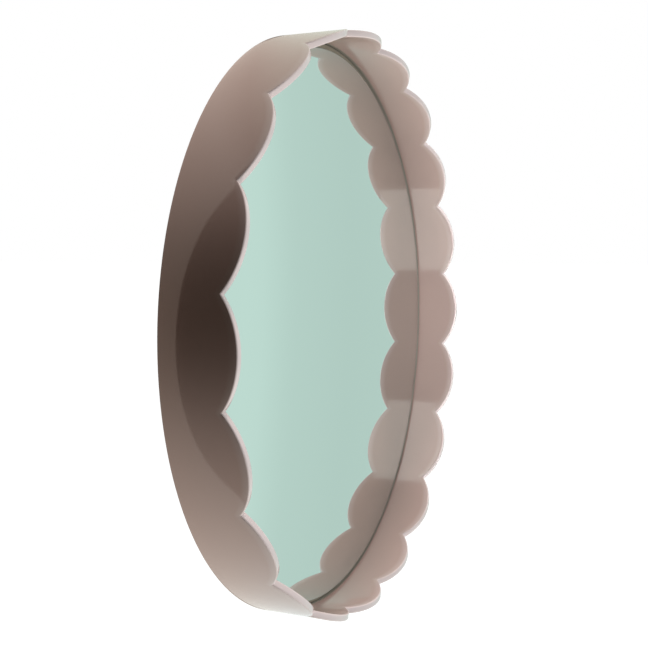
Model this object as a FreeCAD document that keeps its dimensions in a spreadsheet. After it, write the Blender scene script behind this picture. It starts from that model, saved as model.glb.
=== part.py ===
import FreeCAD, Part
import math
import os
import Sketcher

# A round wall mirror in a deep hoop whose front edge is cut in scallops.
# Every piece is drawn as it lies on its back on a bench: x runs to the right, y runs up the wall
# once the mirror hangs, and z rises from the hoop's rear edge towards the viewer.
# Its Placement then stands it up, with the wall at Y = 0 and the front facing -Y.

document = FreeCAD.newDocument("scalloped_mirror")
sheet = document.addObject("Spreadsheet::Sheet", "sizes")

# Driving sizes in millimetres, and counts
SIZES = {
    # bent hoop
    "hoop_radius": 400,
    "hoop_wall": 9,
    "hoop_depth": 98,
    "scallop_count": 20,
    "scallop_height": 22,
    "front_edge_round": 2,
    # glass
    "glass_gap": 6.5,
    "glass_drop": 1.7,
    "glass_thickness": 4,
    "glass_edge_round": 1.2,
    # tape and adhesive between glass and board
    "tape_count": 5,
    "tape_width": 25,
    "tape_thickness": 1,
    "tape_side_inset": 80,
    "tape_end_inset": 20,
    "bead_width": 16,
    # board, and the ledge that it is screwed to
    "board_thickness": 9,
    "board_gap": 0.5,
    "rear_recess": 7.5,
    "ledge_width": 15,
    "ledge_thickness": 9,
    "ledge_joint_gap": 0.6,
    "ledge_count": 4,
    "ledge_screw_count": 12,
    "glue_line": 0.2,
    # battens on the board's back
    "rail_width": 60,
    "rail_rise": 170,
    "rail_end_gap": 2,
    "rail_screw_count": 4,
    "rail_screw_inset": 46,
    # wood screws
    "screw_length": 16,
    "screw_radius": 1.75,
    "screw_tip": 4,
    "screw_head_radius": 3.5,
    "screw_head_cone": 1.75,
    "screw_head_dome": 2.3,
    "screw_clearance": 0.1,
    # hangers
    "hanger_spacing": 400,
    "hanger_inset": 4,
    "strap_width": 20,
    "strap_thickness": 1.2,
    "strap_hole_radius": 2,
    "first_hole_drop": 26,
    "last_hole_drop": 42,
    "curl_gap": 0.6,
    "wire_radius": 1.5,
    "wire_running_gap": 0.08,
    "ring_to_strap_gap": 0.35,
    "ring_inner_width": 24,
    "ring_corner_radius": 3,
    "ring_side": 2,
    # soft bumpers on the hoop's rear edge
    "pad_count": 4,
    "pad_radius": 3,
    "pad_thickness": 1.5,
    "pad_inset": 5.5,
    # every cut runs this far past the solid
    "overrun": 3,
}

for row, (alias, value) in enumerate(SIZES.items(), start=1):
    sheet.set(f"A{row}", alias)
    sheet.set(f"B{row}", str(value))
    sheet.setAlias(f"B{row}", alias)
document.recompute()

# Places worked out from the sizes, from the wall towards the viewer
HOOP_BORE = "(sizes.hoop_radius - sizes.hoop_wall)"
HALF_SCALLOP = "(180 / sizes.scallop_count)"
LEDGE_OUTSIDE = f"({HOOP_BORE} - sizes.glue_line)"
LEDGE_BORE = f"({LEDGE_OUTSIDE} - sizes.ledge_width)"
LEDGE_MIDDLE = f"(({LEDGE_OUTSIDE} + {LEDGE_BORE}) / 2)"
BOARD_REAR = "(sizes.rear_recess + sizes.ledge_thickness)"
BOARD_FRONT = f"({BOARD_REAR} + sizes.board_thickness)"
GLASS_REAR = f"({BOARD_FRONT} + sizes.tape_thickness)"
GLASS_RADIUS = f"({HOOP_BORE} - sizes.glass_gap)"
TAPE_REACH = f"({GLASS_RADIUS} - sizes.tape_side_inset)"
TAPE_PITCH = f"(2 * {TAPE_REACH} / (sizes.tape_count - 1))"
RAIL_CORNER = "(sizes.rail_rise + sizes.rail_width / 2)"
RAIL_HALF_LENGTH = f"(sqrt({LEDGE_BORE}^2 - {RAIL_CORNER}^2) - sizes.rail_end_gap)"
RAIL_SCREW_REACH = f"({RAIL_HALF_LENGTH} - sizes.rail_screw_inset)"
PIVOT_RISE = f"({RAIL_CORNER} - sizes.hanger_inset)"
STRAP_REAR = "(sizes.wire_radius + sizes.ring_to_strap_gap)"
STRAP_FRONT = f"({STRAP_REAR} + sizes.strap_thickness)"
PIVOT_DEPTH = f"(sizes.rear_recess - {STRAP_FRONT})"
KNUCKLE_BORE = "(sizes.wire_radius + sizes.wire_running_gap)"
KNUCKLE_OUTSIDE = f"({KNUCKLE_BORE} + sizes.strap_thickness)"

pieces = []


def number(expression):
    """The value of an expression of the sheet's sizes."""
    return float(sheet.evalExpression(expression))


def count(alias):
    """One of the sheet's counts."""
    return round(number(f"sizes.{alias}"))


def hang(piece, label, across="0", up="0", depth="0", turn=0):
    """Name a piece and stand it up against the wall, turned about the hoop's axis."""
    stand_up = FreeCAD.Rotation(FreeCAD.Vector(1, 0, 0), 90)
    about_axis = FreeCAD.Rotation(FreeCAD.Vector(0, 0, 1), turn)
    piece.Label = label
    piece.Placement = FreeCAD.Placement(FreeCAD.Vector(), stand_up.multiply(about_axis))
    piece.setExpression("Placement.Base.x", across)
    piece.setExpression("Placement.Base.y", f"-(sizes.pad_thickness + {depth})")
    piece.setExpression("Placement.Base.z", up)
    pieces.append(piece)


def new_body(name):
    """A body that may hold a group of like solids."""
    body = document.addObject("PartDesign::Body", name)
    body.AllowCompound = True
    return body


def origin_feature(body, role):
    """One of a body's own origin planes or axes."""
    return next(feature for feature in body.Origin.OriginFeatures if feature.Role == role)


def new_sketch(body, name, plane, offset=("0", "0", "0")):
    """An empty sketch on one of the body's own planes, moved along the sketch's own axes."""
    sketch = body.newObject("Sketcher::SketchObject", name)
    sketch.AttachmentSupport = [(origin_feature(body, plane), "")]
    sketch.MapMode = "FlatFace"
    for axis, move in zip("xyz", offset):
        sketch.setExpression(f"AttachmentOffset.Base.{axis}", move)
    return sketch


def bind(sketch, expression, kind, *where):
    """Add one measured constraint and tie it to the sizes."""
    index = sketch.addConstraint(Sketcher.Constraint(kind, *where, number(expression)))
    sketch.setExpression(f"Constraints[{index}]", expression)


def pin(sketch, edge, end, corner):
    """Hold a point of an edge at a corner that is given as two expressions."""
    bind(sketch, corner[0], "DistanceX", edge, end)
    bind(sketch, corner[1], "DistanceY", edge, end)


def vector(corner):
    """A corner that is given as two expressions, as a point of the sketch."""
    return FreeCAD.Vector(number(corner[0]), number(corner[1]), 0)


def add_arc(sketch, start, end, centre):
    """An arc that runs anticlockwise from start to end."""
    first, last = start - centre, end - centre
    whole = Part.Circle(centre, FreeCAD.Vector(0, 0, 1), first.Length)
    begin = math.atan2(first.y, first.x)
    turn = (math.atan2(last.y, last.x) - begin) % (2 * math.pi)
    sketch.addGeometry(Part.ArcOfCircle(whole, begin, begin + turn))


def hold_arc(sketch, edge, span, centre):
    """Bind the one coordinate of an arc's centre that its two pinned ends leave free."""
    if abs(span.y) < abs(span.x):
        bind(sketch, centre[1], "DistanceY", edge, 3)
    else:
        bind(sketch, centre[0], "DistanceX", edge, 3)


def outline(sketch, corners, centres=None):
    """A closed outline through corners. An edge with a centre is an anticlockwise arc to the next."""
    centres = centres or {}
    points = [vector(corner) for corner in corners]
    ends = points[1:] + points[:1]
    for index, (start, end) in enumerate(zip(points, ends)):
        if index in centres:
            add_arc(sketch, start, end, vector(centres[index]))
            hold_arc(sketch, index, end - start, centres[index])
        else:
            sketch.addGeometry(Part.LineSegment(start, end))
    for index, corner in enumerate(corners):
        previous = (index - 1) % len(corners)
        sketch.addConstraint(Sketcher.Constraint("Coincident", previous, 2, index, 1))
        pin(sketch, index, 1, corner)


def circle(sketch, radius, centre=("0", "0")):
    """A full circle of a bound radius about a pinned centre."""
    edge = sketch.addGeometry(Part.Circle(vector(centre), FreeCAD.Vector(0, 0, 1), number(radius)))
    bind(sketch, radius, "Radius", edge)
    pin(sketch, edge, 3, centre)


def rectangle(sketch, left, right, low, high):
    """A rectangle between four bound sides."""
    outline(sketch, [(left, low), (right, low), (right, high), (left, high)])


def pad(body, name, sketch, length, both_ways=False):
    """A sketch raised to a solid, from its plane or equally to both sides of it."""
    feature = body.newObject("PartDesign::Pad", name)
    feature.Profile = sketch
    feature.SideType = "Symmetric" if both_ways else "One side"
    feature.setExpression("Length", length)
    body.Tip = feature
    return feature


def turned(body, kind, name, sketch, angle="360"):
    """A Revolution or Groove about the sketch's upright axis, half to each side of its plane."""
    feature = body.newObject(f"PartDesign::{kind}", name)
    feature.Profile = sketch
    feature.ReferenceAxis = (sketch, ["V_Axis"])
    feature.Midplane = True
    feature.setExpression("Angle", angle)
    body.Tip = feature
    return feature


def eased(body, name, feature, edge_names, radius):
    """Named edges of a feature rounded."""
    fillet = body.newObject("PartDesign::Fillet", name)
    fillet.Base = (feature, edge_names)
    fillet.setExpression("Radius", radius)
    body.Tip = fillet
    return fillet


def ring_of(body, name, feature, occurrences):
    """A feature repeated all the way round the hoop's axis."""
    pattern = body.newObject("PartDesign::PolarPattern", name)
    pattern.Originals = [feature]
    pattern.Axis = (origin_feature(body, "Z_Axis"), [""])
    pattern.setExpression("Occurrences", occurrences)
    body.Tip = pattern
    return pattern


def row_of(body, name, feature, occurrences, length, axis="X_Axis"):
    """A feature repeated evenly along one of the body's axes."""
    pattern = body.newObject("PartDesign::LinearPattern", name)
    pattern.Originals = [feature]
    pattern.Direction = (origin_feature(body, axis), [""])
    pattern.setExpression("Length", length)
    pattern.setExpression("Occurrences", occurrences)
    body.Tip = pattern
    return pattern


def scallop_profile(body, name, plane):
    """What is cut away over one scallop, on the plane at this distance from the hoop's axis.
    It narrows towards the axis, so the scallop's edge stays square to the bent strip."""
    half_chord = f"({plane} * tan{HALF_SCALLOP})"
    radius = f"(({half_chord}^2 + sizes.scallop_height^2) / (2 * sizes.scallop_height))"
    centre = f"(sizes.hoop_depth - {radius})"
    reach = f"({half_chord} + sizes.overrun)"
    low = f"({centre} + sqrt({radius}^2 - {reach}^2))"
    high = "(sizes.hoop_depth + 2 * sizes.overrun)"
    sketch = new_sketch(body, name, "YZ_Plane", ("0", "0", plane))
    corners = [(reach, low), (f"-{reach}", low), (f"-{reach}", high), (reach, high)]
    outline(sketch, corners, {0: ("0", centre)})
    return sketch


def make_hoop():
    """The bent strip: one scallop's sector, its front edges eased, and then all of them round."""
    body = new_body("hoop")
    wall = new_sketch(body, "wall_section", "XZ_Plane")
    rectangle(wall, HOOP_BORE, "sizes.hoop_radius", "0", "(sizes.hoop_depth + sizes.overrun)")
    turned(body, "Revolution", "one_sector", wall, f"(2 * {HALF_SCALLOP})")
    outside = scallop_profile(body, "scallop_outside", "(sizes.hoop_radius + sizes.overrun)")
    inside_plane = f"({HOOP_BORE} * cos{HALF_SCALLOP} - sizes.overrun)"
    inside = scallop_profile(body, "scallop_inside", inside_plane)
    cut = body.newObject("PartDesign::SubtractiveLoft", "scallop_cut")
    cut.Profile = outside
    cut.Sections = [inside]
    cut.Ruled = True
    document.recompute()
    foot = number("sizes.hoop_depth - sizes.scallop_height - sizes.overrun")
    wall_thickness = number("sizes.hoop_wall")
    front_edges = [
        f"Edge{index}"
        for index, edge in enumerate(cut.Shape.Edges, start=1)
        if edge.BoundBox.ZMin > foot and edge.Length > 2 * wall_thickness
    ]
    eased(body, "front_edges", cut, front_edges, "sizes.front_edge_round")
    whole = body.newObject("PartDesign::PolarPattern", "all_scallops")
    whole.TransformMode = "Whole shape"
    whole.Axis = (origin_feature(body, "Z_Axis"), [""])
    whole.setExpression("Occurrences", "sizes.scallop_count")
    body.Tip = whole
    hang(body, "scalloped_hoop")


def make_glass():
    """The silvered disc with a rounded, polished edge. It has settled a little low in the hoop."""
    body = new_body("glass")
    disc = new_sketch(body, "glass_disc", "XY_Plane", ("0", "0", GLASS_REAR))
    circle(disc, GLASS_RADIUS)
    blank = pad(body, "glass_blank", disc, "sizes.glass_thickness")
    document.recompute()
    rims = [f"Edge{i}" for i, edge in enumerate(blank.Shape.Edges, start=1) if edge.isClosed()]
    eased(body, "pencil_edge", blank, rims, "sizes.glass_edge_round")
    hang(body, "mirror_glass", up="-sizes.glass_drop")


def make_tape(index):
    """One upright strip of double-sided foam tape, cut to the glass's height at its place."""
    across = f"({index} * {TAPE_PITCH} - {TAPE_REACH})"
    outer_side = f"(abs({across}) + sizes.tape_width / 2)"
    half_length = f"(sqrt({GLASS_RADIUS}^2 - {outer_side}^2) - sizes.tape_end_inset)"
    strip = document.addObject("Part::Box", f"tape_{index}")
    strip.setExpression("Length", "sizes.tape_width")
    strip.setExpression("Width", f"2 * {half_length}")
    strip.setExpression("Height", "sizes.tape_thickness")
    hang(
        strip,
        f"mirror_tape_{index + 1}",
        across=f"({across} - sizes.tape_width / 2)",
        up=f"-({half_length} + sizes.glass_drop)",
        depth=BOARD_FRONT,
    )


def make_adhesive():
    """Flattened beads of mirror adhesive, one between each pair of tape strips."""
    first = f"({TAPE_REACH} - {TAPE_PITCH} / 2)"
    edge = "(sizes.bead_width / 2)"
    top = f"(sqrt({GLASS_RADIUS}^2 - ({first} + {edge})^2) - sizes.tape_end_inset - {edge})"
    body = new_body("adhesive")
    bead = new_sketch(body, "bead_outline", "XY_Plane", (f"-{first}", "0", BOARD_FRONT))
    corners = [(edge, f"-{top}"), (edge, top), (f"-{edge}", top), (f"-{edge}", f"-{top}")]
    outline(bead, corners, {1: ("0", top), 3: ("0", f"-{top}")})
    one = pad(body, "one_bead", bead, "sizes.tape_thickness")
    row_of(body, "all_beads", one, "(sizes.tape_count - 1)", f"2 * {first}")
    hang(body, "mirror_adhesive", up="-sizes.glass_drop")


def screw_section(body, name, place, head, is_hole):
    """Half of a screw's section, upright at a place (across, up, depth of the face under or
    round the head). A hole for the screw is larger all round by the clearance."""
    slack = "sizes.screw_clearance" if is_hole else "0"
    behind = "-sizes.overrun" if is_hole else "0"
    shank = f"(sizes.screw_radius + {slack})"
    length = f"(sizes.screw_length + {slack})"
    head_side = f"(sizes.screw_head_radius + {slack})"
    point = [(shank, f"({length} - sizes.screw_tip)"), ("0", length)]
    centres = None
    if head == "countersunk":
        corners = [("0", behind), (head_side, behind)]
        corners += [(head_side, "0")] if is_hole else []
        corners += [(shank, "sizes.screw_head_cone")]
    elif is_hole:
        corners = [("0", behind), (shank, behind)]
    else:
        dome = "sizes.screw_head_dome"
        centre = f"({head_side}^2 / {dome} - 3 * {dome} / 4)"
        corners = [("0", f"-{dome}"), (head_side, f"-{dome} / 2"), (head_side, "0"), (shank, "0")]
        centres = {0: ("0", centre)}
    across, up, depth = place
    sketch = new_sketch(body, name, "XZ_Plane", (across, depth, f"-{up}"))
    outline(sketch, corners + point, centres)
    return sketch


def screw_hole(body, name, place, head):
    """The hole that one screw is driven into."""
    section = screw_section(body, f"{name}_section", place, head, True)
    return turned(body, "Groove", name, section)


def one_screw(body, name, place, head):
    """One wood screw."""
    section = screw_section(body, f"{name}_section", place, head, False)
    return turned(body, "Revolution", name, section)


LEDGE_SCREW = (LEDGE_MIDDLE, "0", "sizes.rear_recess")
RAIL_SCREW = (f"-{RAIL_SCREW_REACH}", "0", "sizes.rear_recess")
HANGER_FIRST = "(-sizes.hanger_spacing / 2)"
HANGER_FACE = "(sizes.rear_recess - sizes.strap_thickness)"


def ledge_screw_ring(body, feature):
    """What is done once for a ledge screw, done for all of them."""
    return ring_of(body, f"{feature.Name}_ring", feature, "sizes.ledge_screw_count")


def rail_screw_row(body, feature):
    """What is done once for a batten's screw, done for its whole row."""
    length = f"2 * {RAIL_SCREW_REACH}"
    return row_of(body, f"{feature.Name}_row", feature, "sizes.rail_screw_count", length)


def hanger_holes(body, name, rise):
    """The pilot holes of both hangers, in a body whose origin is this far up the wall."""
    for drop in ("first_hole_drop", "last_hole_drop"):
        up = f"({PIVOT_RISE} - sizes.{drop} - {rise})"
        hole = screw_hole(body, f"{name}_{drop}", (HANGER_FIRST, up, HANGER_FACE), "round")
        row_of(body, f"{name}_{drop}_pair", hole, "2", "sizes.hanger_spacing")


def make_board():
    """The board that carries the glass, drilled from behind for every screw."""
    body = new_body("board")
    disc = new_sketch(body, "board_disc", "XY_Plane", ("0", "0", BOARD_REAR))
    circle(disc, f"({HOOP_BORE} - sizes.board_gap)")
    pad(body, "board_blank", disc, "sizes.board_thickness")
    ledge_screw_ring(body, screw_hole(body, "board_ledge_hole", LEDGE_SCREW, "countersunk"))
    for name, rise in (("upper", "sizes.rail_rise"), ("lower", "(-sizes.rail_rise)")):
        place = (RAIL_SCREW[0], rise, RAIL_SCREW[2])
        rail_screw_row(body, screw_hole(body, f"board_{name}_hole", place, "countersunk"))
    hanger_holes(body, "board", "0")
    hang(body, "backing_board")


def make_ledge(index, name):
    """A quarter of the ledge, glued inside the hoop and countersunk for its screws."""
    body = new_body(f"ledge_{name}")
    section = new_sketch(body, f"ledge_{name}_section", "XZ_Plane")
    rectangle(section, LEDGE_BORE, LEDGE_OUTSIDE, "sizes.rear_recess", BOARD_REAR)
    joint = f"(2 * asin(sizes.ledge_joint_gap / 2 / {LEDGE_BORE}))"
    turned(body, "Revolution", f"ledge_{name}_bar", section, f"(360 deg / sizes.ledge_count - {joint})")
    ledge_screw_ring(body, screw_hole(body, f"ledge_{name}_hole", LEDGE_SCREW, "countersunk"))
    hang(body, f"ledge_{name}", turn=index * 360 / count("ledge_count"))


def make_ledge_screws():
    """The screws that hold the board to the ledge."""
    body = new_body("screws_of_ledge")
    ledge_screw_ring(body, one_screw(body, "ledge_screw", LEDGE_SCREW, "countersunk"))
    hang(body, "ledge_screws")


def make_rail(name, rise, carries_hangers):
    """A batten screwed flat to the board's back between the sides of the ledge."""
    body = new_body(f"{name}_bar")
    bar = new_sketch(body, f"{name}_outline", "XY_Plane", ("0", "0", "sizes.rear_recess"))
    half_width = "(sizes.rail_width / 2)"
    rectangle(bar, f"-{RAIL_HALF_LENGTH}", RAIL_HALF_LENGTH, f"-{half_width}", half_width)
    pad(body, f"{name}_blank", bar, "sizes.ledge_thickness")
    rail_screw_row(body, screw_hole(body, f"{name}_hole", RAIL_SCREW, "countersunk"))
    if carries_hangers:
        hanger_holes(body, name, rise)
    hang(body, name, up=rise)


def make_rail_screws(name, rise):
    """One batten's row of screws."""
    body = new_body(f"screws_of_{name}")
    rail_screw_row(body, one_screw(body, f"{name}_screw", RAIL_SCREW, "countersunk"))
    hang(body, f"{name}_screws", up=rise)


def hang_at_pivot(body, label, across):
    """Put a piece that is drawn about a ring's pivot in its place."""
    hang(body, label, across=across, up=PIVOT_RISE, depth=PIVOT_DEPTH)


def make_strap(side, across):
    """A steel strap, its upper end rolled into a knuckle round the ring's straight bar."""
    body = new_body(f"{side}_strap")
    edge = "(sizes.strap_width / 2)"
    foot = "-sizes.last_hole_drop"
    blank = new_sketch(body, f"{side}_strap_outline", "XY_Plane", ("0", "0", STRAP_REAR))
    outline(blank, [(f"-{edge}", "0"), (f"-{edge}", foot), (edge, foot), (edge, "0")], {1: ("0", foot)})
    circle(blank, "sizes.strap_hole_radius", ("0", "-sizes.first_hole_drop"))
    circle(blank, "sizes.strap_hole_radius", ("0", foot))
    pad(body, f"{side}_strap_plate", blank, "sizes.strap_thickness")
    roll = new_sketch(body, f"{side}_knuckle_section", "YZ_Plane")
    circle(roll, KNUCKLE_OUTSIDE)
    circle(roll, KNUCKLE_BORE)
    pad(body, f"{side}_knuckle", roll, "sizes.strap_width", both_ways=True)
    slit = new_sketch(body, f"{side}_curl_section", "YZ_Plane")
    rectangle(slit, f"-{KNUCKLE_OUTSIDE}", "0", f"({STRAP_REAR} - sizes.curl_gap)", STRAP_REAR)
    pocket = body.newObject("PartDesign::Pocket", f"{side}_curl_end")
    pocket.Profile = slit
    pocket.SideType = "Symmetric"
    pocket.setExpression("Length", "sizes.strap_width + 2 * sizes.overrun")
    body.Tip = pocket
    hang_at_pivot(body, f"{side}_hanger_strap", across)


def make_ring(side, across):
    """A wire ring bent to a D, hanging from its straight bar."""
    body = new_body(f"{side}_ring")
    corner = "sizes.ring_corner_radius"
    side_x = "(sizes.ring_inner_width / 2 + sizes.wire_radius)"
    bar_end = f"({side_x} - {corner})"
    bow = f"(-{corner} - sizes.ring_side)"
    corners = [
        (bar_end, "0"),
        (f"-{bar_end}", "0"),
        (f"-{side_x}", f"-{corner}"),
        (f"-{side_x}", bow),
        (side_x, bow),
        (side_x, f"-{corner}"),
    ]
    centres = {1: (f"-{bar_end}", f"-{corner}"), 3: ("0", bow), 5: (bar_end, f"-{corner}")}
    bend = new_sketch(body, f"{side}_ring_bend", "XY_Plane")
    outline(bend, corners, centres)
    wire = new_sketch(body, f"{side}_ring_wire", "YZ_Plane", ("0", "0", bar_end))
    circle(wire, "sizes.wire_radius")
    pipe = body.newObject("PartDesign::AdditivePipe", f"{side}_ring_pipe")
    pipe.Profile = wire
    pipe.Spine = bend
    body.Tip = pipe
    hang_at_pivot(body, f"{side}_hanger_ring", across)


def make_hanger_screws(side, across):
    """The two round-headed screws of one hanger."""
    body = new_body(f"screws_of_{side}_hanger")
    place = ("0", "-sizes.last_hole_drop", STRAP_REAR)
    screw = one_screw(body, f"{side}_hanger_screw", place, "round")
    length = "(sizes.last_hole_drop - sizes.first_hole_drop)"
    row_of(body, f"{side}_hanger_screw_pair", screw, "2", length, "Y_Axis")
    hang_at_pivot(body, f"{side}_hanger_screws", across)


def make_wall_pad(index):
    """One soft bumper that touches the wall. It sits far enough in on the hoop's rear edge to be
    out of sight from the side."""
    bumper = document.addObject("Part::Cylinder", f"pad_{index}")
    bumper.setExpression("Radius", "sizes.pad_radius")
    bumper.setExpression("Height", "sizes.pad_thickness")
    angle = f"(360 / sizes.pad_count * ({index} + 1 / 2))"
    middle = "(sizes.hoop_radius - sizes.pad_inset)"
    across, up = f"{middle} * cos{angle}", f"{middle} * sin{angle}"
    hang(bumper, f"wall_pad_{index + 1}", across=across, up=up, depth="-sizes.pad_thickness")


def check_document():
    """Stop unless every object is sound and every cut took something away."""
    document.recompute()
    for item in document.Objects:
        if {"Invalid", "Error"} & set(item.State):
            raise RuntimeError(f"{item.Name} failed: {item.State}")
        if item.isDerivedFrom("PartDesign::FeatureSubtractive"):
            if item.Shape.Volume >= item.BaseFeature.Shape.Volume:
                raise RuntimeError(f"{item.Name} cuts nothing")
    for piece in pieces:
        if piece.Shape.isNull() or not piece.Shape.isValid() or not piece.Shape.Solids:
            raise RuntimeError(f"{piece.Label} has no valid shape")


make_hoop()
make_glass()
for strip_index in range(count("tape_count")):
    make_tape(strip_index)
make_adhesive()
make_board()
for ledge_index, ledge_name in enumerate(("right", "top", "left", "bottom")):
    make_ledge(ledge_index, ledge_name)
make_ledge_screws()
make_rail("hanging_rail", "sizes.rail_rise", True)
make_rail("stiffening_rail", "(-sizes.rail_rise)", False)
make_rail_screws("hanging_rail", "sizes.rail_rise")
make_rail_screws("stiffening_rail", "(-sizes.rail_rise)")
for hanger_side, hanger_across in (("left", HANGER_FIRST), ("right", f"(-{HANGER_FIRST})")):
    make_strap(hanger_side, hanger_across)
    make_ring(hanger_side, hanger_across)
    make_hanger_screws(hanger_side, hanger_across)
for pad_index in range(count("pad_count")):
    make_wall_pad(pad_index)

check_document()
os.makedirs("parts", exist_ok=True)
for piece in pieces:
    piece.Shape.exportStep(f"parts/{piece.Label}.step")
    box = piece.Shape.BoundBox
    print(f"{piece.Label}: {len(piece.Shape.Solids)} solids, {piece.Shape.Volume:.1f} mm3, "
          f"{box.XLength:.2f} x {box.YLength:.2f} x {box.ZLength:.2f}")
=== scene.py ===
import math

import bmesh
import bpy
from mathutils import Matrix, Vector


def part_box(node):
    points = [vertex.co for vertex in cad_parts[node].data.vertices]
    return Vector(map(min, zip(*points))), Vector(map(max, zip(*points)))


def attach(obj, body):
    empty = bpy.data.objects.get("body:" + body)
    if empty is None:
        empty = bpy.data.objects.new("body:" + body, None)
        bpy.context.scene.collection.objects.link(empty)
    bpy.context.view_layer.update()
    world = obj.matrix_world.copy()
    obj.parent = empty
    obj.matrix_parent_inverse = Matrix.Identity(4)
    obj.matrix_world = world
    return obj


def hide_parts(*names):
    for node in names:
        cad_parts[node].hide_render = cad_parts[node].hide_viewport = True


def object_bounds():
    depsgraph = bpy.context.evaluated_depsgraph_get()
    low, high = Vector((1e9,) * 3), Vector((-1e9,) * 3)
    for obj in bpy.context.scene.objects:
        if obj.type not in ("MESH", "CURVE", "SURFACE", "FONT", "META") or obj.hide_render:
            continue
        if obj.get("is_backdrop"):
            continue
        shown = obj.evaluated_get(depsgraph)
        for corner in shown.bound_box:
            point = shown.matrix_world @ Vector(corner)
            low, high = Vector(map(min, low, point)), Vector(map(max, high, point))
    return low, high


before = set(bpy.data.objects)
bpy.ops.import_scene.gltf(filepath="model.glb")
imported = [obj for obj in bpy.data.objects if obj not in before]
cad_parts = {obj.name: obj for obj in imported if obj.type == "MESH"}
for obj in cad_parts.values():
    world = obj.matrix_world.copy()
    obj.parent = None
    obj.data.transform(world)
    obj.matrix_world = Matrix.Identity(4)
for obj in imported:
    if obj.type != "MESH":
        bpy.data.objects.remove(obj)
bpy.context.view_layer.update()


# Scalloped hoop
# A 9 mm strip of birch ply bent into a hoop 800 mm across. Its front edge is sawn in twenty
# scallops and sanded round, and it is sprayed in dusty pink lacquer and rubbed to satin.
MM = 0.001
FULL_TURN = 2 * math.pi
hoop_low, hoop_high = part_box("scalloped_hoop")
HOOP_RADIUS = hoop_high.x
HOOP_WALL = 9 * MM
HOOP_BORE = HOOP_RADIUS - HOOP_WALL
HOOP_REAR = hoop_high.y
HOOP_DEPTH = hoop_high.y - hoop_low.y
SCALLOPS = 20
SCALLOP_HEIGHT = 22 * MM
FRONT_ROUND = 2 * MM
REAR_ROUND = 0.8 * MM
COLUMNS_PER_SCALLOP = 40
ROUND_STEPS = 6
WALL_STEPS = 10


def linear(hex_colour):
    """The linear colour, with alpha, of an sRGB colour written as #rrggbb."""
    channels = [int(hex_colour[i:i + 2], 16) / 255 for i in (1, 3, 5)]
    return [c / 12.92 if c <= 0.04045 else ((c + 0.055) / 1.055) ** 2.4 for c in channels] + [1.0]


def link(tree, node, *sources, **links):
    """Links sources to a node's first inputs, and to the inputs that are named."""
    for socket, source in zip(node.inputs, sources):
        tree.links.new(source, socket)
    for name, source in links.items():
        tree.links.new(source, node.inputs[name.replace("_", " ")])


def add(tree, kind, settings=None, *sources, **links):
    """Adds a node with its attributes, sockets and links. A setting's key is the name of either,
    or the number of a socket."""
    node = tree.nodes.new(kind)
    for key, value in (settings or {}).items():
        if isinstance(key, int) or key in node.inputs:
            node.inputs[key].default_value = value
        else:
            setattr(node, key, value)
    link(tree, node, *sources, **links)
    return node


def new_material(name, settings=None):
    """A material whose tree holds its Principled shader, with these settings, and its output."""
    material = bpy.data.materials.new(name)
    material.use_nodes = True
    tree = material.node_tree
    tree.nodes.clear()
    shader = add(tree, "ShaderNodeBsdfPrincipled", settings)
    add(tree, "ShaderNodeOutputMaterial", {}, shader.outputs["BSDF"])
    return material, tree, shader


def mesh_object(name, mesh, *materials):
    """Puts a bmesh into the scene as an object with smooth faces."""
    data = bpy.data.meshes.new(name)
    bmesh.ops.recalc_face_normals(mesh, faces=mesh.faces)
    mesh.to_mesh(data)
    mesh.free()
    for polygon in data.polygons:
        polygon.use_smooth = True
    for material in materials:
        data.materials.append(material)
    made = bpy.data.objects.new(name, data)
    bpy.context.scene.collection.objects.link(made)
    return made


def skin(mesh, rings, is_loop=False):
    """Joins rings of points with faces. Unless they make a loop, the two end rings are closed."""
    following = rings[1:] + rings[:1] if is_loop else rings[1:]
    for here, there in zip(rings, following):
        for i in range(len(here)):
            j = (i + 1) % len(here)
            mesh.faces.new((here[i], here[j], there[j], there[i]))
    if not is_loop:
        mesh.faces.new(rings[0])
        mesh.faces.new(rings[-1])


def eased_corner(radius, easing, steps=ROUND_STEPS):
    """A quarter round as (radius, depth) points, from an end face out to the side."""
    turns = [math.pi / 2 * step / steps for step in range(steps + 1)]
    return [(radius - easing * (1 - math.sin(t)), easing * (1 - math.cos(t))) for t in turns]


def front_depth(angle, offset):
    """Depth of the scalloped edge at an angle, or of the line that runs this far inside it."""
    pitch = FULL_TURN / SCALLOPS
    from_middle = (angle + pitch / 2) % pitch - pitch / 2
    across = (HOOP_RADIUS - HOOP_WALL / 2) * math.tan(from_middle)
    half_chord = (HOOP_RADIUS - HOOP_WALL / 2) * math.tan(pitch / 2)
    radius = (half_chord ** 2 + SCALLOP_HEIGHT ** 2) / (2 * SCALLOP_HEIGHT)
    return HOOP_DEPTH - radius + math.sqrt((radius - offset) ** 2 - across ** 2)


def hoop_section(angle):
    """The hoop's section at one angle as (radius, depth) points, from the rear round the outside."""
    section = eased_corner(HOOP_RADIUS, REAR_ROUND)
    low, high = REAR_ROUND, front_depth(angle, FRONT_ROUND)
    for step in range(1, WALL_STEPS):
        section.append((HOOP_RADIUS, low + (high - low) * step / WALL_STEPS))
    for step in range(ROUND_STEPS + 1):
        turn = math.pi / 2 * step / ROUND_STEPS
        section.append((
            HOOP_RADIUS - FRONT_ROUND * (1 - math.cos(turn)),
            front_depth(angle, FRONT_ROUND * (1 - math.sin(turn))),
        ))
    inward = [(HOOP_RADIUS + HOOP_BORE - radius, depth) for radius, depth in reversed(section)]
    return section + inward


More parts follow.
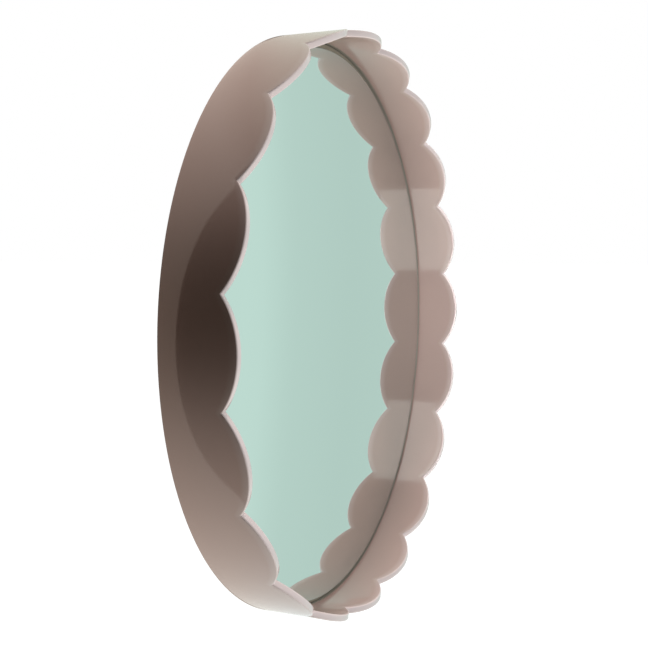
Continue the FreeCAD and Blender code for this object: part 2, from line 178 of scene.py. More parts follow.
hoop_mesh = bmesh.new()
edge_wear_and_highlight = hoop_mesh.verts.layers.float.new("edge_wear_and_highlight")
columns = []
column_count = SCALLOPS * COLUMNS_PER_SCALLOP
for column in range(column_count):
    angle = FULL_TURN * column / column_count
    ring = []
    for radius, depth in hoop_section(angle):
        vert = hoop_mesh.verts.new((
            radius * math.cos(angle), HOOP_REAR - depth, radius * math.sin(angle),
        ))
        # Near the front edge each point gets a paler share, partly rubbed lacquer and partly a painted
        # highlight.
        vert[edge_wear_and_highlight] = max(0.0, 1 - (front_depth(angle, 0) - depth) / (2 * FRONT_ROUND))
        ring.append(vert)
    columns.append(ring)
skin(hoop_mesh, columns, is_loop=True)

# The edge keeps a crisp line at each cusp, where two scallops meet.
wall_end = ROUND_STEPS + WALL_STEPS
for column in range(COLUMNS_PER_SCALLOP // 2, column_count, COLUMNS_PER_SCALLOP):
    ring = columns[column]
    for index in range(wall_end, len(ring) - wall_end - 1):
        hoop_mesh.edges.get((ring[index], ring[index + 1])).smooth = False

# Satin lacquer: a pink body colour under a clear, hard coat that mirrors bright things softly.
# Its rounded front edge is paler, partly lacquer rubbed thin and partly a painted highlight.
# Behind the glass the bore is painted grey-brown, a painted shade in the gap that makes a fine
# darker line round the mirror.
LACQUER_PINK = "#bb9b90"
LACQUER_EDGE_AND_HIGHLIGHT = "#d2bdb7"
GAP_SHADE_BROWN = "#a59b8e"
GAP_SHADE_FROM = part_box("mirror_glass")[0].y
GAP_SHADE_INSIDE = HOOP_BORE + REAR_ROUND / 2
lacquer, tree, shader = new_material("dusty_pink_lacquer", {
    "Roughness": 0.45, "Specular IOR Level": 0.2,
    "Coat Weight": 0.9, "Coat Roughness": 0.08, "Coat IOR": 1.5,
})
place = add(tree, "ShaderNodeTexCoord").outputs["Object"]
cloud = add(tree, "ShaderNodeTexNoise", {"Scale": 1 / (120 * MM), "Detail": 3.0}, Vector=place)
tone = add(tree, "ShaderNodeMapRange", {"To Min": 0.97, "To Max": 1.03}, Value=cloud.outputs["Fac"])
# Partly a painted highlight, partly real rubbing: the front edge's share mixes in the paler colour.
edge_highlight_share = add(tree, "ShaderNodeAttribute", {"attribute_name": "edge_wear_and_highlight"})
body = add(
    tree, "ShaderNodeMix", {"data_type": "RGBA", "A": linear(LACQUER_PINK), "B": linear(LACQUER_EDGE_AND_HIGHLIGHT)},
    Factor=edge_highlight_share.outputs["Fac"],
)
shade = add(tree, "ShaderNodeHueSaturation", Color=body.outputs["Result"], Value=tone.outputs["Result"])
axes = add(tree, "ShaderNodeSeparateXYZ", Vector=place)
flat = add(tree, "ShaderNodeCombineXYZ", X=axes.outputs["X"], Z=axes.outputs["Z"])
reach = add(tree, "ShaderNodeVectorMath", {"operation": "LENGTH"}, flat.outputs["Vector"])
# Painted shade: the bore behind the glass's front face takes the grey-brown that stands for the gap's shade.
inside = add(tree, "ShaderNodeMath", {"operation": "LESS_THAN", 1: GAP_SHADE_INSIDE}, reach.outputs["Value"])
behind = add(tree, "ShaderNodeMath", {"operation": "GREATER_THAN", 1: GAP_SHADE_FROM}, axes.outputs["Y"])
both = add(
    tree, "ShaderNodeMath", {"operation": "MULTIPLY"}, inside.outputs["Value"], behind.outputs["Value"],
)
coloured = add(
    tree, "ShaderNodeMix", {"data_type": "RGBA", "B": linear(GAP_SHADE_BROWN)},
    Factor=both.outputs["Value"], A=shade.outputs["Color"],
)
peel = add(tree, "ShaderNodeTexNoise", {"Scale": 1 / (3 * MM), "Detail": 2.0}, Vector=place)
bump = add(tree, "ShaderNodeBump", {"Strength": 0.05, "Distance": 0.2 * MM}, Height=peel.outputs["Fac"])
link(tree, shader, Base_Color=coloured.outputs["Result"], Normal=bump.outputs["Normal"])

hoop = mesh_object("bent_hoop", hoop_mesh, lacquer)
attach(hoop, "mirror_frame")
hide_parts("scalloped_hoop")


# Ledge
# Four bent pine strips, 15 by 9 mm, glued end to end inside the hoop behind the mirror. Each is
# countersunk for three screws, and its edges are eased with a block plane.
LEDGE_BORE = 375.8 * MM
LEDGE_OUTSIDE = 390.8 * MM
LEDGE_EASED = 0.6 * MM
LEDGE_STEPS = 90
EASED_STEPS = 3
SCREW_RADIUS = 1.75 * MM
SCREW_HEAD = 3.5 * MM
SCREW_LENGTH = 16 * MM
HEAD_CONE = 1.75 * MM
HOLE_SLACK = 0.1 * MM
HOLE_SIDES = 32
LEDGE_SCREW_RADIUS = (LEDGE_BORE + LEDGE_OUTSIDE) / 2
LEDGE_SCREWS = 12
ledge_low, ledge_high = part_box("ledge_right")
LEDGE_REAR = ledge_high.y
LEDGE_HALF_ANGLE = math.asin(ledge_high.z / LEDGE_OUTSIDE)


def lathe(mesh, section, sides, at, across=Vector((1, 0, 0)), up=Vector((0, 0, 1)), slot=0):
    """Turns (radius, depth) points about the depth axis. A radius of zero closes that end."""
    along = across.cross(up)
    rings = []
    for radius, depth in section:
        if radius == 0:
            rings.append([mesh.verts.new(at + along * depth)])
            continue
        turns = [FULL_TURN * i / sides for i in range(sides)]
        rings.append([
            mesh.verts.new(at + along * depth + across * radius * math.cos(t) + up * radius * math.sin(t))
            for t in turns
        ])
    for lower, upper in zip(rings, rings[1:]):
        for i in range(sides):
            j = (i + 1) % sides
            if len(lower) == 1:
                face = mesh.faces.new((lower[0], upper[i], upper[j]))
            elif len(upper) == 1:
                face = mesh.faces.new((lower[i], upper[0], lower[j]))
            else:
                face = mesh.faces.new((lower[i], upper[i], upper[j], lower[j]))
            face.material_index = slot
    return rings


def carve(piece, cutter_mesh):
    """Cuts the cutter's volume out of a piece."""
    cutter = mesh_object("cutter", cutter_mesh)
    cut = piece.modifiers.new("cut", "BOOLEAN")
    cut.operation = "DIFFERENCE"
    cut.solver = "EXACT"
    cut.object = cutter
    graph = bpy.context.evaluated_depsgraph_get()
    shape = bpy.data.meshes.new_from_object(piece.evaluated_get(graph))
    whole = piece.data
    piece.modifiers.remove(cut)
    piece.data = shape
    bpy.data.meshes.remove(whole)
    bpy.data.objects.remove(cutter)


def crisp(piece):
    """Keeps flat faces flat to the eye, and edges of more than 35 degrees sharp."""
    piece.data.set_sharp_from_angle(angle=math.radians(35))
    weighted = piece.modifiers.new("flat_faces", "WEIGHTED_NORMAL")
    weighted.keep_sharp = True


def screw_hole(mesh, at):
    """The countersunk hole of one screw that is driven from behind."""
    radius = SCREW_RADIUS + HOLE_SLACK
    head = SCREW_HEAD + HOLE_SLACK
    section = [
        (0, -MM), (head, -MM), (head, 0), (radius, HEAD_CONE), (radius, SCREW_LENGTH), (0, SCREW_LENGTH),
    ]
    lathe(mesh, section, HOLE_SIDES, at)


def ledge_screw_place(index):
    """Where a screw's head sits. Screw 0 is at the right, and the others follow upwards from it."""
    angle = FULL_TURN * index / LEDGE_SCREWS
    return Vector((
        LEDGE_SCREW_RADIUS * math.cos(angle), LEDGE_REAR, LEDGE_SCREW_RADIUS * math.sin(angle),
    ))


# Planed pine: pale early wood that darkens to a sharp honey line at each growth ring, with fine
# fibres and a dry, faintly silky face. The rings run along the grain, 5.5 mm apart. At scale 1 a
# wave texture's bands are 0.314 apart, so the scale is the ratio of the two.
RING_SPACING = 5.5 * MM
BAND_SPACING = 0.314
FIBRE_WIDTH = 0.8 * MM


def pine(name, is_bent):
    """Pine with its grain along X, or round the mirror's axis where it is bent."""
    material, tree, shader = new_material(name)
    along = add(tree, "ShaderNodeTexCoord").outputs["Object"]
    if is_bent:
        axes = add(tree, "ShaderNodeSeparateXYZ", Vector=along)
        turn = add(tree, "ShaderNodeMath", {"operation": "ARCTAN2"}, axes.outputs["Z"], axes.outputs["X"])
        arc = add(
            tree, "ShaderNodeMath", {"operation": "MULTIPLY", 1: LEDGE_SCREW_RADIUS}, turn.outputs["Value"],
        )
        flat = add(tree, "ShaderNodeVectorMath", {"operation": "MULTIPLY", 1: (1, 0, 1)}, along)
        reach = add(tree, "ShaderNodeVectorMath", {"operation": "LENGTH"}, flat.outputs["Vector"])
        along = add(
            tree, "ShaderNodeCombineXYZ",
            X=arc.outputs["Value"], Y=axes.outputs["Y"], Z=reach.outputs["Value"],
        ).outputs["Vector"]
    board = add(tree, "ShaderNodeObjectInfo")
    shift = add(tree, "ShaderNodeVectorMath", {"operation": "ADD"}, along, board.outputs["Random"])
    slow = add(tree, "ShaderNodeMapping", {"Scale": (0.05, 1.0, 1.0)}, Vector=shift.outputs["Vector"])
    rings = add(tree, "ShaderNodeTexWave", {
        "bands_direction": "DIAGONAL", "wave_profile": "SAW", "Scale": BAND_SPACING / RING_SPACING,
        "Distortion": 5.0, "Detail": 3.0, "Detail Scale": 0.5,
    }, Vector=slow.outputs["Vector"])
    late = add(tree, "ShaderNodeMath", {"operation": "POWER", 1: 2.2}, rings.outputs["Fac"])
    fine = add(tree, "ShaderNodeMapping", {"Scale": (0.02, 1.0, 1.0)}, Vector=shift.outputs["Vector"])
    fibre = add(
        tree, "ShaderNodeTexNoise", {"Scale": 1 / FIBRE_WIDTH, "Detail": 3.0}, Vector=fine.outputs["Vector"],
    )
    band = add(
        tree, "ShaderNodeMix", {"data_type": "RGBA", "A": linear("#d8bc8c"), "B": linear("#b4875a")},
        Factor=late.outputs["Value"],
    )
    tone = add(tree, "ShaderNodeMapRange", {"To Min": 0.86, "To Max": 1.1}, Value=fibre.outputs["Fac"])
    colour = add(tree, "ShaderNodeHueSaturation", Color=band.outputs["Result"], Value=tone.outputs["Result"])
    sheen = add(tree, "ShaderNodeMapRange", {"To Min": 0.5, "To Max": 0.7}, Value=fibre.outputs["Fac"])
    bump = add(tree, "ShaderNodeBump", {"Strength": 0.25, "Distance": 0.1 * MM}, Height=fibre.outputs["Fac"])
    link(
        tree, shader, Base_Color=colour.outputs["Color"], Roughness=sheen.outputs["Result"],
        Normal=bump.outputs["Normal"],
    )
    return material


bent_pine = pine("bent_planed_pine", True)
for quarter, name in enumerate(("ledge_right", "ledge_top", "ledge_left", "ledge_bottom")):
    strip = bmesh.new()
    section = []
    for radius, y, start in (
        (LEDGE_OUTSIDE, LEDGE_REAR, 0), (LEDGE_BORE, LEDGE_REAR, 1), (LEDGE_BORE, ledge_low.y, 2),
        (LEDGE_OUTSIDE, ledge_low.y, 3),
    ):
        inward = radius - LEDGE_EASED if radius == LEDGE_OUTSIDE else radius + LEDGE_EASED
        shy = y - LEDGE_EASED if y == LEDGE_REAR else y + LEDGE_EASED
        for step in range(EASED_STEPS + 1):
            turn = math.pi / 2 * (start + step / EASED_STEPS)
            section.append((inward + LEDGE_EASED * math.cos(turn), shy + LEDGE_EASED * math.sin(turn)))
    rows = []
    for step in range(LEDGE_STEPS + 1):
        angle = LEDGE_HALF_ANGLE * (2 * step / LEDGE_STEPS - 1)
        rows.append([strip.verts.new((r * math.cos(angle), y, r * math.sin(angle))) for r, y in section])
    skin(strip, rows)
    quarter_ledge = mesh_object("bent_" + name, strip, bent_pine)
    holes = bmesh.new()
    for index in (-1, 0, 1):
        screw_hole(holes, ledge_screw_place(index))
    carve(quarter_ledge, holes)
    quarter_ledge.rotation_euler = (0, -math.pi / 2 * quarter, 0)
    crisp(quarter_ledge)
    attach(quarter_ledge, "mirror_frame")
    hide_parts(name)


# Backing board
# A disc of 9 mm fibreboard, sawn round, its corners eased, and sealed all over with a matt seal.
# It is screwed to the front of the ledge and carries the glass.
board_low, board_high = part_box("backing_board")
BOARD_RADIUS = board_high.x
BOARD_EASED = 0.8 * MM
BOARD_STEPS = 4
BOARD_SIDES = 360
board_thickness = board_high.y - board_low.y
board_mesh = bmesh.new()
board_front = [(0, 0)]
for share in (0.25, 0.5, 0.75):
    board_front.append((BOARD_RADIUS * share, 0))
board_front += eased_corner(BOARD_RADIUS, BOARD_EASED, BOARD_STEPS)
board_back = [(radius, board_thickness - depth) for radius, depth in reversed(board_front)]
lathe(
    board_mesh, board_front + board_back, BOARD_SIDES,
    Vector((0, board_low.y, (board_low.z + board_high.z) / 2)), Vector((0, 0, 1)), Vector((1, 0, 0)),
)

# Sealed fibreboard: brown with paler fibres that lie every way, and a dull, uneven seal.
sealed, tree, shader = new_material("sealed_brown_fibreboard")
place = add(tree, "ShaderNodeTexCoord").outputs["Object"]
fibres = add(
    tree, "ShaderNodeTexNoise", {"Scale": 1 / (1.4 * MM), "Detail": 4.0, "Distortion": 1.5}, Vector=place,
)
coats = add(tree, "ShaderNodeTexNoise", {"Scale": 1 / (60 * MM), "Detail": 3.0}, Vector=place)
paler = add(tree, "ShaderNodeMapRange", {"From Min": 0.45, "From Max": 0.75}, Value=fibres.outputs["Fac"])
colour = add(
    tree, "ShaderNodeMix", {"data_type": "RGBA", "A": linear("#716758"), "B": linear("#8f8472")},
    Factor=paler.outputs["Result"],
)
dull = add(tree, "ShaderNodeMapRange", {"To Min": 0.55, "To Max": 0.85}, Value=coats.outputs["Fac"])
bump = add(tree, "ShaderNodeBump", {"Strength": 0.3, "Distance": 0.1 * MM}, Height=fibres.outputs["Fac"])
link(
    tree, shader, Base_Color=colour.outputs["Result"], Roughness=dull.outputs["Result"],
    Normal=bump.outputs["Normal"],
)

board = mesh_object("sealed_board", board_mesh, sealed)
crisp(board)
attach(board, "mirror_frame")
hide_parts("backing_board")


# Ledge screws
# Twelve zinc-plated wood screws, 3.5 by 16 mm, with countersunk heads and cross recesses. They
# are driven from behind, through the ledge and into the board.
THREAD_CORE = 1.2 * MM
THREAD_PITCH = 1.6 * MM
THREAD_START = 2.6 * MM
SCREW_TIP = 4 * MM
SCREW_SIDES = 24
ROWS_PER_TURN = 5
THREAD_FLANK = 0.28
RECESS_DEPTH = 1.7 * MM
RECESS_MOUTH = (4.2 * MM, 0.95 * MM)
RECESS_FOOT = (1.5 * MM, 0.5 * MM)
DEGREES_APART = 37


def screw_template(name, head, material):
    """One screw whose head faces +Y at the origin. Its head is a list of (radius, depth) points."""
    mesh = bmesh.new()
    rows = [(radius, depth, 0.0) for radius, depth in head]
    row_count = round((SCREW_LENGTH - THREAD_START) / THREAD_PITCH * ROWS_PER_TURN)
    for row in range(row_count):
        depth = THREAD_START + (SCREW_LENGTH - THREAD_START) * row / row_count
        taper = min(1.0, (SCREW_LENGTH - depth) / SCREW_TIP)
        rows.append((THREAD_CORE * taper, depth, (SCREW_RADIUS - THREAD_CORE) * taper))
    top = mesh.verts.new((0, -rows[0][1], 0))
    rings = []
    for radius, depth, thread in rows:
        ring = []
        for side in range(SCREW_SIDES):
            angle = FULL_TURN * side / SCREW_SIDES
            phase = (depth / THREAD_PITCH - side / SCREW_SIDES) % 1.0
            reach = radius + thread * max(0.0, 1 - abs(phase - 0.5) / THREAD_FLANK)
            ring.append(mesh.verts.new((reach * math.cos(angle), -depth, reach * math.sin(angle))))
        rings.append(ring)
    tip = mesh.verts.new((0, -SCREW_LENGTH, 0))
    for side in range(SCREW_SIDES):
        after = (side + 1) % SCREW_SIDES
        mesh.faces.new((top, rings[0][side], rings[0][after]))
        mesh.faces.new((tip, rings[-1][after], rings[-1][side]))
        for here, there in zip(rings, rings[1:]):
            mesh.faces.new((here[side], there[side], there[after], here[after]))
    screw = mesh_object(name, mesh, material)
    for turn in (0, math.pi / 2):
        bar = bmesh.new()
        bmesh.ops.create_cube(bar, size=1)
        for vert in bar.verts:
            is_outer = vert.co.y > 0
            length, width = RECESS_MOUTH if is_outer else RECESS_FOOT
            depth = MM if is_outer else -RECESS_DEPTH
            vert.co = (vert.co.x * length, depth - head[0][1], vert.co.z * width)
        bmesh.ops.rotate(bar, verts=bar.verts, matrix=Matrix.Rotation(turn, 3, "Y"))
        carve(screw, bar)
    return screw


def drive_screws(name, template, places):
    """Puts a copy of a screw at each place, each turned as it came to rest, as one object."""
    joined = bmesh.new()
    for index, place in enumerate(places):
        copy = template.data.copy()
        at_rest = Matrix.Rotation(math.radians(DEGREES_APART * index), 4, "Y")
        copy.transform(Matrix.Translation(place) @ at_rest)
        joined.from_mesh(copy)
        bpy.data.meshes.remove(copy)
    screws = mesh_object(name, joined, *template.data.materials)
    crisp(screws)
    return screws


# Bright zinc: a cool grey metal, half polished, with cloudy passivation and fine drive marks.
zinc, tree, shader = new_material("bright_zinc_plate", {"Metallic": 1.0})
place = add(tree, "ShaderNodeTexCoord").outputs["Object"]
cloud = add(tree, "ShaderNodeTexNoise", {"Scale": 1 / (1.5 * MM), "Detail": 4.0}, Vector=place)
colour = add(
    tree, "ShaderNodeMix", {"data_type": "RGBA", "A": linear("#b9bcbb"), "B": linear("#d6d3c8")},
    Factor=cloud.outputs["Fac"],
)
dull = add(tree, "ShaderNodeMapRange", {"To Min": 0.2, "To Max": 0.42}, Value=cloud.outputs["Fac"])
link(tree, shader, Base_Color=colour.outputs["Result"], Roughness=dull.outputs["Result"])

flat_head = [
    (3.2 * MM, 0), (3.42 * MM, 0.05 * MM), (SCREW_HEAD, 0.2 * MM),
    (SCREW_RADIUS, HEAD_CONE), (1.4 * MM, 2.1 * MM),
]
flat_screw = screw_template("countersunk_screw", flat_head, zinc)
ledge_places = [ledge_screw_place(index) for index in range(LEDGE_SCREWS)]
screws = drive_screws("screws_in_ledge", flat_screw, ledge_places)
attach(screws, "mirror_frame")
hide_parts("ledge_screws")


# Battens
# Two lengths of planed pine, 60 by 9 mm, on the back of the board. The upper one carries the
# hangers and the lower one keeps the board flat. Each has four countersunk screws.
RAIL_EASED = 1.0 * MM
RAIL_SCREW_REACH = 270.16 * MM
RAIL_SCREWS = 4
straight_pine = pine("straight_planed_pine", False)
for node in ("hanging_rail", "stiffening_rail"):
    low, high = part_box(node)
    block = bmesh.new()
    bmesh.ops.create_cube(block, size=1)
    for vert in block.verts:
        vert.co = [low[i] if vert.co[i] < 0 else high[i] for i in range(3)]
    bmesh.ops.bevel(
        block, geom=block.edges[:], offset=RAIL_EASED, segments=EASED_STEPS, profile=0.5, affect="EDGES",
    )
    rail = mesh_object("planed_" + node, block, straight_pine)
    rise = (low.z + high.z) / 2
    rail_places = [
        Vector((RAIL_SCREW_REACH * (2 * index / (RAIL_SCREWS - 1) - 1), high.y, rise))
        for index in range(RAIL_SCREWS)
    ]
    holes = bmesh.new()
    for at in rail_places:
        screw_hole(holes, at)
    carve(rail, holes)
    crisp(rail)
    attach(rail, "mirror_frame")
    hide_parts(node)
    screws = drive_screws("screws_in_" + node, flat_screw, rail_places)
    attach(screws, "mirror_frame")
    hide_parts(node + "_screws")
bpy.data.objects.remove(flat_screw)


# Foam tape
# Five strips of double-sided foam tape, 25 by 1 mm, hold the glass until the adhesive has cured.
# They are cut with scissors, and their sides bulge a little under the glass's weight.
TAPE_ROW = 6 * MM
TAPE_BULGE = 0.2 * MM
TAPE_WAVE = 17 * MM
SIDE_STEPS = 6

# Closed-cell foam: white, with a fine grain of bubbles.
foam, tree, shader = new_material("white_closed_cell_foam", {"Roughness": 0.85})
place = add(tree, "ShaderNodeTexCoord").outputs["Object"]
cells = add(tree, "ShaderNodeTexVoronoi", {"Scale": 1 / (0.5 * MM)}, Vector=place)
colour = add(
    tree, "ShaderNodeMix", {"data_type": "RGBA", "A": linear("#ecebe7"), "B": linear("#cfcec8")},
    Factor=cells.outputs["Distance"],
)
bump = add(tree, "ShaderNodeBump", {"Strength": 0.4, "Distance": 0.1 * MM}, Height=cells.outputs["Distance"])
link(tree, shader, Base_Color=colour.outputs["Result"], Normal=bump.outputs["Normal"])


def pressed_strip(name, low, high, half_width, material, row):
    """An upright strip pressed flat between two faces, its sides half round. A function gives the
    half width of each side at each height."""
    mesh = bmesh.new()
    centre, middle = (low.x + high.x) / 2, (low.y + high.y) / 2
    half_depth = (high.y - low.y) / 2
    count = round((high.z - low.z) / row)
    rings = []
    for index in range(count + 1):
        z = low.z + (high.z - low.z) * index / count
        right, left = half_width(z, 1), half_width(z, -1)
        ring = []
        for side, width in ((1, right), (-1, left)):
            for step in range(SIDE_STEPS + 1):
                turn = math.pi * (step / SIDE_STEPS - 0.5)
                flat = max(0.0, width - half_depth)
                across = min(width, half_depth) * math.cos(turn)
                ring.append(mesh.verts.new((
                    centre + side * (flat + across), middle + side * half_depth * math.sin(turn), z,
                )))
        rings.append(ring)
    skin(mesh, rings)
    strip = mesh_object(name, mesh, material)
    crisp(strip)
    return strip


for index in range(1, 6):
    node = f"mirror_tape_{index}"
    low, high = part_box(node)
    half = (high.x - low.x) / 2

    def tape_width(z, side):
        """A side that bulges in and out by a fraction of a millimetre."""
        return half - TAPE_BULGE * (0.5 + 0.5 * math.sin(z / TAPE_WAVE + side + index))

    tape = pressed_strip("foam_tape_" + str(index), low, high, tape_width, foam, TAPE_ROW)
    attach(tape, "mirror_frame")
    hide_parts(node)


# Mirror adhesive
# Four beads of neutral adhesive, squeezed flat between the strips of tape as the glass went on.
# Their sides wander, and their ends are round where the nozzle was lifted.
BEADS = 4
BEAD_HALF = 8 * MM
BEAD_WANDER = 1.6 * MM
BEAD_THINNEST = 0.3 * MM
BEAD_ROW = 3 * MM
SLOW_WAVE = 11 * MM
QUICK_WAVE = 5 * MM

# Cured adhesive: putty grey, soft and slightly glossy, with faint streaks from the nozzle.
cured, tree, shader = new_material("cured_mirror_adhesive", {"Roughness": 0.4})
place = add(tree, "ShaderNodeTexCoord").outputs["Object"]
drawn = add(tree, "ShaderNodeMapping", {"Scale": (1.0, 1.0, 0.15)}, Vector=place)
streak = add(
    tree, "ShaderNodeTexNoise", {"Scale": 1 / (2 * MM), "Detail": 3.0}, Vector=drawn.outputs["Vector"],
)
colour = add(
    tree, "ShaderNodeMix", {"data_type": "RGBA", "A": linear("#a8a294"), "B": linear("#bdb8aa")},
    Factor=streak.outputs["Fac"],
)
bump = add(tree, "ShaderNodeBump", {"Strength": 0.3, "Distance": 0.2 * MM}, Height=streak.outputs["Fac"])
link(tree, shader, Base_Color=colour.outputs["Result"], Normal=bump.outputs["Normal"])

low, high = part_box("mirror_adhesive")
bead_mesh = bmesh.new()
for bead in range(BEADS):
    centre = (low.x + BEAD_HALF) + (high.x - low.x - 2 * BEAD_HALF) * bead / (BEADS - 1)

    def bead_width(z, side):
        """A side that wanders, and closes in a half circle at both ends."""
        from_end = min(z - low.z, high.z - z, BEAD_HALF)
        round_end = math.sqrt(max(0.0, 1 - (1 - from_end / BEAD_HALF) ** 2))
        slow = math.sin(z / SLOW_WAVE + 2 * bead + side)
        quick = math.sin(z / QUICK_WAVE + bead * side)
        wave = 0.5 + 0.3 * slow + 0.2 * quick
        return max(BEAD_THINNEST, (BEAD_HALF - BEAD_WANDER * wave) * round_end)

    left_low = Vector((centre - BEAD_HALF, low.y, low.z))
    right_high = Vector((centre + BEAD_HALF, high.y, high.z))
    one = pressed_strip("one_bead", left_low, right_high, bead_width, cured, BEAD_ROW)
    bead_mesh.from_mesh(one.data)
    bpy.data.objects.remove(one)
beads = mesh_object("adhesive_beads", bead_mesh, cured)
crisp(beads)
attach(beads, "mirror_frame")
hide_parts("mirror_adhesive")


# Mirror glass
# A disc of 4 mm float glass, silvered and painted on its back, with a ground and polished
# pencil edge. It is stuck to the board and has settled a little low in the hoop.
glass_low, glass_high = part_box("mirror_glass")
GLASS_RADIUS = (glass_high.x - glass_low.x) / 2
GLASS_MIDDLE = (glass_low.z + glass_high.z) / 2
GLASS_FRONT = glass_low.y
GLASS_THICKNESS = glass_high.y - glass_low.y
PENCIL_ROUND = 1.2 * MM
GLASS_SIDES = 360
ON_FACE = 1e-7

# Silvering: light comes back off it almost whole and uncoloured, with a trace of haze.
SILVER = linear("#d5d9d7")
silvered, tree, shader = new_material("silvered_glass_face", {"Base Color": SILVER, "Metallic": 1.0})
place = add(tree, "ShaderNodeTexCoord").outputs["Object"]
haze = add(tree, "ShaderNodeTexNoise", {"Scale": 1 / (90 * MM), "Detail": 4.0}, Vector=place)
film = add(tree, "ShaderNodeMapRange", {"To Min": 0.0, "To Max": 0.03}, Value=haze.outputs["Fac"])
link(tree, shader, Roughness=film.outputs["Result"])

# Polished edge of float glass: dark green-grey seen end on, with a bright line where it rounds.
glass_edge, tree, shader = new_material("polished_glass_edge", {"IOR": 1.52, "Coat Weight": 1.0})
place = add(tree, "ShaderNodeTexCoord").outputs["Object"]
ground = add(tree, "ShaderNodeTexNoise", {"Scale": 1 / (0.4 * MM), "Detail": 2.0}, Vector=place)
colour = add(
    tree, "ShaderNodeMix", {"data_type": "RGBA", "A": linear("#43564d"), "B": linear("#5a7065")},
    Factor=ground.outputs["Fac"],
)
dull = add(tree, "ShaderNodeMapRange", {"To Min": 0.04, "To Max": 0.14}, Value=ground.outputs["Fac"])
link(tree, shader, Base_Color=colour.outputs["Result"], Roughness=dull.outputs["Result"])

glass_mesh = bmesh.new()
glass_section = eased_corner(GLASS_RADIUS, PENCIL_ROUND)
rear_section = [(radius, GLASS_THICKNESS - depth) for radius, depth in reversed(glass_section)]
lathe(
    glass_mesh, glass_section + rear_section, GLASS_SIDES, Vector((0, GLASS_FRONT, GLASS_MIDDLE)),
    Vector((0, 0, 1)), Vector((1, 0, 0)), 1,
)
for depth in (0, GLASS_THICKNESS):
    rim = [vert for vert in glass_mesh.verts if abs(vert.co.y - GLASS_FRONT - depth) < ON_FACE]
    rim.sort(key=lambda vert: math.atan2(vert.co.z - GLASS_MIDDLE, vert.co.x))
    glass_mesh.faces.new(rim).material_index = 0

glass = mesh_object("silvered_glass", glass_mesh, silvered, glass_edge)
crisp(glass)
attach(glass, "mirror_frame")
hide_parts("mirror_glass")


# Hanger straps
# Two straps of 1.2 mm steel, 20 mm wide, nickel plated. Each is punched for two screws, has a
# round foot, and its upper end is rolled round the bar of a D-ring.
PIVOT_DEPTH = -5.95 * MM
PIVOT_RISE = 196 * MM
STRAP_THICKNESS = 1.2 * MM
STRAP_OFFSET = 2.45 * MM
ROLL_RADIUS = 2.18 * MM
STRAP_HALF = 10 * MM
STRAP_FOOT = 52 * MM
STRAP_EASED = 0.25 * MM
STRAP_TIP = 0.4 * MM
STRAP_HOLE = 2.0 * MM
PUNCH_LENGTH = 3 * STRAP_THICKNESS
PUNCH_SIDES = 40
HANGER_SCREW_DROPS = (26 * MM, 42 * MM)
ROLL_SWEEP = math.radians(305)
FOOT_STEPS = 12
SHANK_STEPS = 12
ROLL_STEPS = 40
STEPS_TO_FULL_ROLL = 8

# Nickel plate: a warm, satin metal with brushing across the strap and slightly cloudy polish.
nickel, tree, shader = new_material("satin_nickel_plate", {"Metallic": 1.0})
place = add(tree, "ShaderNodeTexCoord").outputs["Object"]
brushed = add(tree, "ShaderNodeMapping", {"Scale": (0.06, 1.0, 1.0)}, Vector=place)
lines = add(
    tree, "ShaderNodeTexNoise", {"Scale": 1 / (0.25 * MM), "Detail": 3.0}, Vector=brushed.outputs["Vector"],
)
colour = add(
    tree, "ShaderNodeMix", {"data_type": "RGBA", "A": linear("#b5afa4"), "B": linear("#cdc8bd")},
    Factor=lines.outputs["Fac"],
)
dull = add(tree, "ShaderNodeMapRange", {"To Min": 0.22, "To Max": 0.38}, Value=lines.outputs["Fac"])
bump = add(tree, "ShaderNodeBump", {"Strength": 0.1, "Distance": 0.02 * MM}, Height=lines.outputs["Fac"])
link(
    tree, shader, Base_Color=colour.outputs["Result"], Roughness=dull.outputs["Result"],
    Normal=bump.outputs["Normal"],
)


def strap_path():
    """The strap's middle line as (depth, rise, normal depth, normal rise, half width) rows."""
    rows = []
    for step in range(FOOT_STEPS + 1):
        turn = math.pi / 2 * step / FOOT_STEPS
        rise = -STRAP_FOOT + STRAP_HALF * (1 - math.cos(turn))
        rows.append((-STRAP_OFFSET, rise, -1.0, 0.0, max(STRAP_TIP, STRAP_HALF * math.sin(turn))))
    for step in range(1, SHANK_STEPS):
        rise = (-STRAP_FOOT + STRAP_HALF) * (1 - step / SHANK_STEPS)
        rows.append((-STRAP_OFFSET, rise, -1.0, 0.0, STRAP_HALF))
    for step in range(ROLL_STEPS + 1):
        turn = math.pi - ROLL_SWEEP * step / ROLL_STEPS
        radius = ROLL_RADIUS + (STRAP_OFFSET - ROLL_RADIUS) * max(0.0, 1 - step / STEPS_TO_FULL_ROLL)
        out, up = math.cos(turn), math.sin(turn)
        rows.append((radius * out, radius * up, out, up, STRAP_HALF))
    return rows


